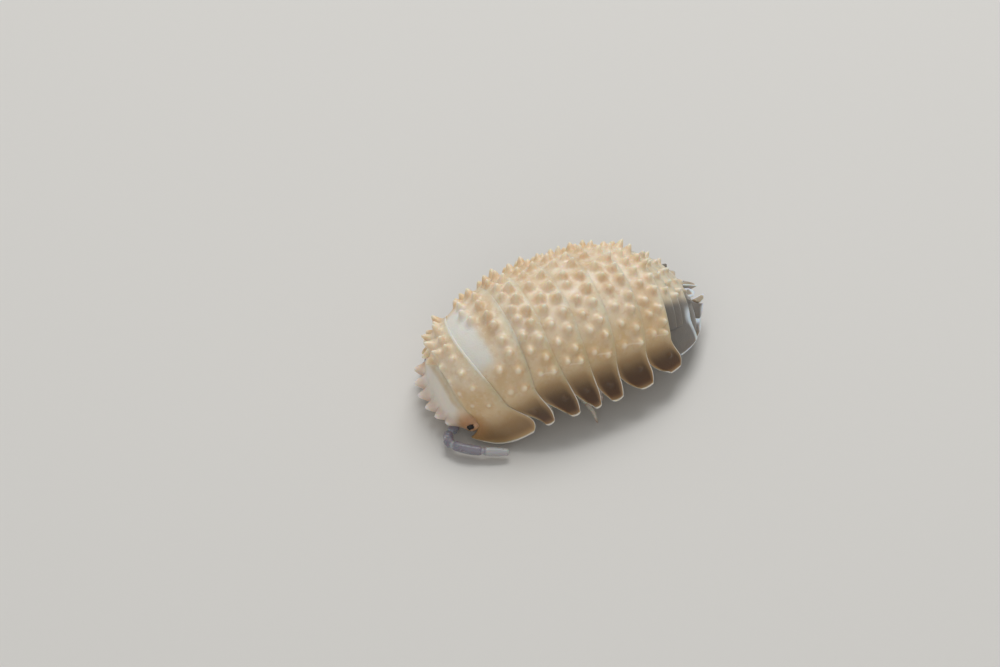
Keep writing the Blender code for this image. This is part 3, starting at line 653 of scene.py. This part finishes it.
def build_shell(look):
    """The seven shell plates, each between the seams before and behind it."""
    for number, trims, lifts in zip(range(1, 8), zip(FRONT_TRIMS, REAR_TRIMS), zip(FRONT_LIFTS, REAR_LIFTS)):

        def front(u):
            return thorax_seam(number - 1, u)

        def rear(u):
            return thorax_seam(number, u)

        build_plate(
            f"shell_plate_{number}", front, rear, 1.0, 74 if number == 1 else 48,
            shell_rows(number, front, rear), 20 + number, look, "shell",
            {1: FIRST_PLATE, 2: SECOND_PLATE}.get(number, PLAIN_PLATE),
            FIRST_EDGES if number == 1 else LAPPED_EDGES, trims, lifts,
        )


def build_tail(look):
    """The five tail plates, each with one row of spines just before its middle. The first two are plain
    bands that end on the back, and the others sweep back down the sides."""
    for number in range(1, 6):

        def front(u):
            return np.full_like(u, SEAMS[-1]) if number == 1 else tail_seam(number - 1, u)

        def rear(u):
            return np.full_like(u, TAIL_SEAMS[number - 1]) if number < 3 else tail_seam(number, u)

        places = both_sides(0.07, 0.22) if number % 2 else both_sides(0.0, 0.15, 0.29)
        height = TAIL_SPIKE_HEIGHTS[number - 1]
        drawn = {"sides_from": TAIL_RIMS_FROM[number - 1], "skirt_over": TAIL_GREY_OVER[number - 1]}
        build_plate(
            f"tail_plate_{number}", front, rear, TAIL_REACHES[number - 1], 30,
            [(lambda u: 0.55 * front(u) + 0.45 * rear(u), places, height, TAIL_SPIKE_RADIUS, 0.2)],
            40 + number, look, "tail", TAIL_PLATE | drawn,
        )


def build_tail_end(look):
    """The telson and the uropods: a thin leaf each, bulged like a pillow by (1 - outward^4) (1 - back^6),
    its end rounded off with outward^2 and outward^6. rim rises smoothly to the sides and the end."""
    for node, right, left, end, thick, raised, behind, rim_from, rim_width in TAIL_LEAVES:
        u, share = np.meshgrid(np.linspace(right, left, 61), np.linspace(0, 1, 41))
        middle = (right + left) / 2
        outward = (u - middle) / (left - middle)
        start = tail_seam(5, u) + behind
        stop = end - LEAF_ROUNDING[0] * outward**2 - LEAF_ROUNDING[1] * outward**6
        s = start + (stop - start) * share
        pillow = (1 - outward**4) * (1 - share**6)
        lateral, height = outer_section(s, u, raised)
        outer = place(s, lateral, height + LEAF_SKIN * pillow)
        inner = back_point(s, u, raised - LEAF_SKIN - thick * pillow)
        points, faces = slab(outer, inner)
        rim_to = rim_from + rim_width
        # rim is the leaves' pale border, partly their own clear edge and partly a painted highlight
        rim = 0.9 * np.maximum(rise(np.abs(outward), rim_from, rim_to), rise(share, rim_from, rim_to))
        # skirt greys the leaves, and under paints their inner face darker as shade
        marks = slab_marks(rim.shape, spine=(0, 0), skirt=(0.6, 0.8), rim=(rim, rim), under=(0, 1))
        piece(node, points, faces, look, "tail", **marks)


# ---------------------------------------------------------------- head


def brow_point(share):
    """A point of the brow's edge: share runs from -1 at its right end to 1 at its left end. Its station
    goes back with the square of share and turns a little forward to the left."""
    lateral = BROW_HALF_WIDTH * share
    station = BROW_AT + BROW_SWEEP * share**2 - BROW_TURN * lateral
    return np.stack([lateral, BASE_Y + station, np.full_like(share, BROW_HEIGHT)], -1)


def head_outline(share):
    """Corner rows of the head's outline in each column: rim, neck, crown, brow, face, back to the belly.
    The rim lies well inside the first plate, and the neck at its front edge is level with it. Both dip
    under the cheeks by a smooth step of |share|. The crown is the straight line from neck to brow, bulged
    forward and up by t (1 - t)."""
    u = HEAD_REACH * share
    seam = thorax_seam(0, u)
    cheek = rise(np.abs(share), CHEEK_FROM, 1.0)
    rim = back_point(seam + HEAD_INSIDE, u, -0.05 - CHEEK_DIPS[0] * cheek)
    neck = back_point(seam, u, -0.01 - CHEEK_DIPS[1] * cheek)
    brow = brow_point(share)
    bulge = np.array([0, -CROWN_BULGE[0], CROWN_BULGE[1]])
    crown = [neck + (brow - neck) * t + bulge * t * (1 - t) for t in (0.2, 0.4, 0.6, 0.8)]
    under = brow * [0.97, 1, 1] + [0, 0.06, -0.13]
    middle = (brow + brow_point(np.zeros_like(share))) / 2
    face = np.stack([0.85 * brow[:, 0], middle[:, 1] + 0.22, np.full_like(share, FACE_HEIGHT)], -1)
    socket = seam + 0.3
    return [rim, neck, *crown, brow, under, face, place(socket, *inner_section(socket, u))]


def build_head(look, eye_look):
    """A closed ring of rows over every column, its corners rounded by taking each point ten times a
    quarter of the way towards both neighbours, with round cheeks that close both ends: each column drawn
    in to its middle by a cosine while it moves out by the sine. The crown's mark comes in behind the
    neck, above 0.4 to 0.6 mm and within 0.75 to 1.2 mm of the middle."""
    corners = head_outline(np.linspace(-1, 1, 281))
    loops = np.array([
        corners[k] + (corners[(k + 1) % len(corners)] - corners[k]) * t
        for k, count in enumerate(HEAD_ROWS) for t in np.arange(count) / count
    ])
    for _ in range(HEAD_ROUNDINGS):
        loops = (np.roll(loops, 1, axis=0) + 2 * loops + np.roll(loops, -1, axis=0)) / 4
    angle = np.linspace(0, math.pi / 2, 12)[1:, None, None]
    cheeks = []
    for column, side in ((loops[:, -1], 1), (loops[:, 0], -1)):
        centre = column.mean(axis=0)
        outward = np.array([CHEEK_BULGE[0] * side, CHEEK_BULGE[1], 0])
        cheeks.append(centre + (column - centre)[None] * np.cos(angle) + np.sin(angle) * outward)
    grid = np.concatenate([cheeks[1][::-1], loops.transpose(1, 0, 2), cheeks[0]]).transpose(1, 0, 2)
    spines = []
    for share, length in BROW_SPIKES:
        root = brow_point(np.array([share]))[0] + [0, 0.05, -0.03]
        way = Vector((0.36 * share, -0.9, 0.35)).normalized()
        spines.append((root, np.array(way), length, BROW_SPIKE_RADIUS))
    grid, lift = raise_spines(grid, spines)
    eyes = []
    for column in (0, -1):
        neck, brow = corners[NECK][column], corners[BROW][column]
        eyes.append(neck + (brow - neck) * EYE_SHARE + [0.07 * np.sign(neck[0]), 0, 0.05])
    rows, columns = grid.shape[:2]
    index = np.arange(rows * columns).reshape(rows, columns)
    across, height = np.abs(grid[..., 0]), grid[..., 2]
    crown = rise(np.arange(rows)[:, None], 12, 27) * rise(height, 0.4, 0.6) * fade(across, 0.75, 1.2)
    # under paints the head's lower part darker: painted shade
    piece(
        "head", grid.reshape(-1, 3), quad_grid(np.concatenate([index, index[:1]])), look, "shell",
        spine=lift, flesh=fade(nearest(grid, eyes), 0.1, 0.62), crown=crown, under=fade(height, 0.2, 0.35),
    )
    for eye, node in zip(eyes, ("eye_right", "eye_left")):
        build_eye(node, eye, eye_look)


def build_eye(node, middle, look):
    """Twenty simple lenses packed in staggered rows on a dark oval cushion. A lens sits as far out as
    the ellipsoid under it: by the square root of 1 - (a / half length)^2 - (b / half width)^2."""
    side = np.sign(middle[0])
    out = np.array(Vector((0.86 * side, -0.2, 0.47)).normalized())
    along = np.array(Vector((0.1 * side, 0.95, 0.1)).normalized())
    along -= out * (along @ out)
    along /= np.linalg.norm(along)
    axes = np.array([np.cross(out, along), along, out])
    parts = [bead(middle, axes * np.array(EYE_CUSHION)[:, None], 24, 12)]
    for row, count in LENS_ROWS:
        for k in range(count):
            a, b = LENS_PITCH[0] * (k - (count - 1) / 2), LENS_PITCH[1] * row
            rise_out = EYE_CUSHION[2] * math.sqrt(max(0.05, 1 - (a / 0.11) ** 2 - (b / 0.075) ** 2))
            spot = middle + a * axes[1] + b * axes[0] + rise_out * axes[2]
            parts.append(bead(spot, axes * np.array(LENS)[:, None], 8, 6))
    points, faces = merged(parts)
    piece(node, points, faces, look, "eye")


# ---------------------------------------------------------------- limbs


def articles(length, joints, radii, pinch=0.3, narrow=0.02):
    """Radius and joint mark along a limb: straight tapers between the radii at its joints, swollen in
    between by a tenth of a sine, drawn in at each joint by pinch * e^-(distance/narrow)^2, and closed at
    both ends by a quarter circle."""
    joints = np.asarray(joints)
    radius = np.interp(length, joints, radii)
    at_joint = np.exp(-(((length[:, None] - joints[None, 1:-1]) / narrow) ** 2)).max(axis=1)
    swell = 1 + 0.1 * np.sin(np.pi * np.interp(length, joints, np.arange(len(joints))) % np.pi)
    ends = np.minimum(length, 1 - length) / 0.03
    cap = np.sqrt(np.clip(1 - (1 - np.minimum(ends, 1)) ** 2, 0.0004, 1))
    return radius * swell * (1 - pinch * at_joint) * cap, at_joint


def build_limb(node, corners, joints, radii, look, tip_from):
    """A tube along a rounded path through the corners, with rings at even steps of its length, shifted by
    0.006 times the sine of two turns. tip rises smoothly over 0.06 of the length from tip_from."""
    path = rounded_path(corners, 400)
    steps = np.concatenate([[0], np.cumsum(np.linalg.norm(np.diff(path, axis=0), axis=1))])
    length = np.linspace(0, 1, LIMB_RINGS)
    length = length + 0.006 * np.sin(2 * math.tau * length)
    path = np.stack([np.interp(length, steps / steps[-1], path[:, k]) for k in range(3)], -1)
    radius, joint = articles(length, joints, radii)
    points, faces = tube(path, radius, LIMB_SIDES)
    tip = smooth((length - tip_from) / 0.06)
    marks = {"joint": np.repeat(joint, LIMB_SIDES), "tip": np.repeat(tip, LIMB_SIDES)}
    piece(node, points, faces, look, "limb", **marks)


def build_feelers(look):
    """Three short articles at the root, a long fourth, and a lash. The right one is slimmer."""
    for node, feeler, share in (("antenna_left", LEFT_FEELER, 1.0), ("antenna_right", RIGHT_FEELER, 0.7)):
        corners = [(x, BASE_Y + station, height) for x, station, height in feeler]
        build_limb(node, corners, FEELER_JOINTS, share * np.array(FEELER_RADII), look, FEELER_TIP)


def build_legs(look):
    """Seven pairs: a stout thigh under the belly, then four shorter articles and a claw. The corners are
    shares of the foot's distance sideways, of the leg's spread along the body and of the belly's height."""
    for number, (station, spread, sideways) in enumerate(zip(LEG_STATIONS, LEG_SPREAD, FOOT_SIDEWAYS), 1):
        under = station + np.array([-0.3, 0, 0.3])
        belly = place(under, 0.0, BELLY_HEIGHT * back_height(under))
        top, y = belly[:, 2].min() - 0.09, belly[1, 1]
        for side, name in ((1, "left"), (-1, "right")):
            step = 0.05 * side * (-1) ** number
            knee = (0.45 + 0.5 * sideways, y + 0.45 * spread, 0.6 * top)
            ankle = (0.95 * sideways, y + 0.8 * spread + step, 0.25 * top)
            foot = (sideways, y + spread + step, FOOT_HEIGHT)
            if number == 4 and side == 1:
                ankle, foot = REACHING_ANKLE, REACHING_FOOT
            corners = [(0.5, y, top), (0.58, y + 0.1 * spread, top - 0.22), knee, ankle, foot]
            corners = [(side * a, b, c) for a, b, c in corners]
            build_limb(f"leg_{number}_{name}", corners, LEG_JOINTS, LEG_RADII, look, LEG_TIP)


# ---------------------------------------------------------------- the set


def set_camera():
    """Looks down on the animal's left side from ahead, turned a little about its own axis."""
    ahead, up, roll = math.radians(23.5), math.radians(48), math.radians(3)
    distance, pixels_per_mm = 105.0, 38.8
    back = Vector((math.cos(ahead) * math.cos(up), -math.sin(ahead) * math.cos(up), math.sin(up)))
    level = Vector((math.sin(ahead), math.cos(ahead), 0))
    upright = back.cross(level)
    right = level * math.cos(roll) - upright * math.sin(roll)
    top = level * math.sin(roll) + upright * math.cos(roll)
    aim = Vector((0, 4.3 + BASE_Y, 1.32)) - right * 52 / pixels_per_mm - top * 1.5 / pixels_per_mm
    eye = (aim + back * distance) * MM
    lens = bpy.data.cameras.new("camera")
    lens.sensor_width = 36
    lens.lens = distance * pixels_per_mm / 1000 * lens.sensor_width
    lens.clip_start, lens.clip_end = 0.01, 10
    camera = bpy.data.objects.new("camera", lens)
    bpy.context.scene.collection.objects.link(camera)
    camera.matrix_world = Matrix(
        [[right[k], top[k], back[k], eye[k]] for k in range(3)] + [[0, 0, 0, 1]]
    )
    bpy.context.scene.camera = camera


def set_stage():
    """A pale matt floor, a wide lamp above the far side, a weak one near the camera and a soft sky."""
    half = 0.3
    mesh = bpy.data.meshes.new("floor")
    corners = [(-half, -half, 0), (half, -half, 0), (half, half, 0), (-half, half, 0)]
    mesh.from_pydata(corners, [], [(0, 1, 2, 3)])
    floor = bpy.data.objects.new("floor", mesh)
    bpy.context.scene.collection.objects.link(floor)
    # Matt card: even and dull, with faint clouds in its sheen.
    mesh.materials.append(finish("matt_card_floor", "#DEDCD8", (), (0.8, 0.85)))
    for name, spot, power, size in (
        ("key", (-0.055, 0.04, 0.12), 0.104, 0.08),
        ("fill", (0.12, -0.08, 0.08), 0.03, 0.12),
    ):
        lamp = bpy.data.lights.new(name, "AREA")
        lamp.energy, lamp.size = power, size
        obj = bpy.data.objects.new(name, lamp)
        bpy.context.scene.collection.objects.link(obj)
        obj.location = spot
        obj.rotation_euler = Vector(spot).to_track_quat("Z", "Y").to_euler()
    world = bpy.data.worlds.new("soft_sky")
    world.use_nodes = True
    sky = world.node_tree.nodes["Background"]
    sky.inputs["Color"].default_value = linear("#EEEEEC")
    sky.inputs["Strength"].default_value = 0.42
    bpy.context.scene.world = world
    bpy.context.scene.view_settings.view_transform = "Standard"


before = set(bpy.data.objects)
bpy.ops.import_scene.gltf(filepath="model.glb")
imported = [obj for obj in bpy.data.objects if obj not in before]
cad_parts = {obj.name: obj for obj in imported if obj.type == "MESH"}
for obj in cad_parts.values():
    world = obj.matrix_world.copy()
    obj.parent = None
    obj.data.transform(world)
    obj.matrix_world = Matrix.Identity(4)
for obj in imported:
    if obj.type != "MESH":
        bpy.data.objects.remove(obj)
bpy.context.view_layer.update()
set_camera()
set_stage()
# Calcified cuticle, waxy and half clear: clouded ivory and ochre, with blunt spine tips whitish, partly their
# own colour and partly a painted highlight, pink-tan round their roots, and free lobes thin and amber that go
# deep brown to the hem, a painted shade as though a dark ground showed through them. The inner faces are
# painted darker as shade, and every free edge is a clear line that reads white, partly its own paleness and
# partly a painted highlight.
WAXY = {
    "Subsurface_Weight": 0.6, "Subsurface_Scale": 0.25 * MM, "Subsurface_Radius": (1.0, 0.65, 0.35),
    "IOR": 1.5, "Coat_Weight": 0.15, "Coat_Roughness": 0.25,
}
ivory = finish(
    "ivory_cuticle", "#EEDCC0",
    (
        (0.8, 0.42, 0.62, 0.6, "#DBBB90"),
        (0.17, 0.5, 0.72, 0.35, "#D0A77C"),
        (0.11, 0.5, 0.72, 0.35, "#F7F0E4"),
        ("flank", 0.0, 1.0, 0.5, "#D9B67E"),
        ("glassy", 0.0, 1.0, 0.85, "#F0F0EA"),
        ("flesh", 0.0, 1.0, 0.8, "#BC824C"),
        ("spine", 0.06, 0.35, 0.15, "#D8B68C"),
        # whitish spine tips: partly their own pale colour, partly a painted highlight where the tips catch
        # the light
        ("spine", 0.4, 1.0, 0.5, "#F7EFE2"),
        ("skirt", 0.0, 0.55, 0.8, "#A98555"),
        # deep brown down the lobes: painted shade, as though a dark ground showed through the thin lobes
        ("skirt", 0.3, 1.0, 0.92, "#452A10"),
        # pale edges: partly the clear edge's own paleness, partly a painted highlight
        ("rim", 0.1, 0.9, 0.9, "#FFF3E2"),
        # inner faces and belly: painted darker as shade
        ("under", 0.0, 1.0, 0.8, "#B8A68A"),
    ),
    (0.34, 0.48), (0.05, 0.008), **WAXY,
)
# The tail's plates have less chalk in them, so they are greyer. Down their sides they darken to a deep grey,
# a painted shade as on the shell's lobes, their inner faces are painted darker as shade, and their edges are
# bluish white, partly their own clear edge and partly a painted highlight.
grey = finish(
    "grey_cuticle", "#E6D5B8",
    (
        (0.5, 0.4, 0.64, 0.6, "#BDAE8E"),
        (0.15, 0.5, 0.7, 0.4, "#DED3BC"),
        # pale spine tips: partly their own colour, partly a painted highlight
        ("spine", 0.3, 0.9, 0.7, "#E9E5DD"),
        # deep grey down the sides: partly their own grey, partly painted shade, as though a dark ground
        # showed through the thin lobes
        ("skirt", 0.0, 1.0, 0.92, "#65615E"),
        # bluish-white edges: partly the clear edge's own paleness, partly a painted highlight
        ("rim", 0.1, 0.9, 0.95, "#E1EAF1"),
        # inner faces: painted darker as shade
        ("under", 0.0, 1.0, 0.6, "#A79C8C"),
    ),
    (0.28, 0.42), (0.05, 0.006), **WAXY,
)
# The head's cuticle is smooth and milky grey over the crown, cream and pink at its spines, and orange where
# the flesh shows through round the eyes. Its lower part is painted darker as shade.
milky = finish(
    "milky_cuticle", "#E4CFB0",
    (
        (0.5, 0.42, 0.64, 0.5, "#C6AE84"),
        ("crown", 0.0, 1.0, 0.85, "#F4EDE3"),
        (0.12, 0.5, 0.7, 0.3, "#E9E4D8"),
        ("flesh", 0.0, 1.0, 0.75, "#C98B58"),
        ("spine", 0.05, 0.4, 0.7, "#D9C6BB"),
        ("spine", 0.6, 0.98, 0.8, "#F3ECE8"),
        # lower part of the head: painted darker as shade
        ("under", 0.0, 1.0, 0.7, "#A39388"),
    ),
    (0.3, 0.42), (0.06, 0.006), **WAXY,
)
# Limb cuticle is thin and glassy, so grey and violet flesh shows through it, and it is white at the joints.
GLASSY = {
    "Transmission_Weight": 0.2, "Subsurface_Weight": 0.5, "Subsurface_Scale": 0.15 * MM,
    "IOR": 1.4, "Coat_Weight": 0.3,
}
feeler = finish(
    "feeler_cuticle", "#9D9AA3",
    (
        (0.3, 0.42, 0.62, 0.5, "#868596"),
        ("tip", 0.0, 1.0, 0.8, "#CFCFCE"),
        ("joint", 0.3, 0.9, 0.45, "#DCDDE2"),
    ),
    (0.22, 0.34), (0.04, 0.004), **GLASSY,
)
limb = finish(
    "limb_cuticle", "#D9D1C2",
    (
        (0.2, 0.42, 0.62, 0.6, "#C0B5A4"),
        ("joint", 0.2, 0.9, 0.7, "#EFE9DE"),
        ("tip", 0.0, 1.0, 0.5, "#A9815E"),
    ),
    (0.24, 0.36), (0.04, 0.004), **GLASSY,
)
# Eye lenses are clear drops over black pigment: nearly black, each with a small sharp light.
lens_black = finish(
    "lens_black", "#0B0706",
    ((0.05, 0.45, 0.6, 0.6, "#1E120C"),),
    (0.08, 0.16), Coat_Weight=0.8,
)
build_shell(ivory)
build_tail(grey)
build_tail_end(grey)
build_head(milky, lens_black)
build_feelers(feeler)
build_legs(limb)
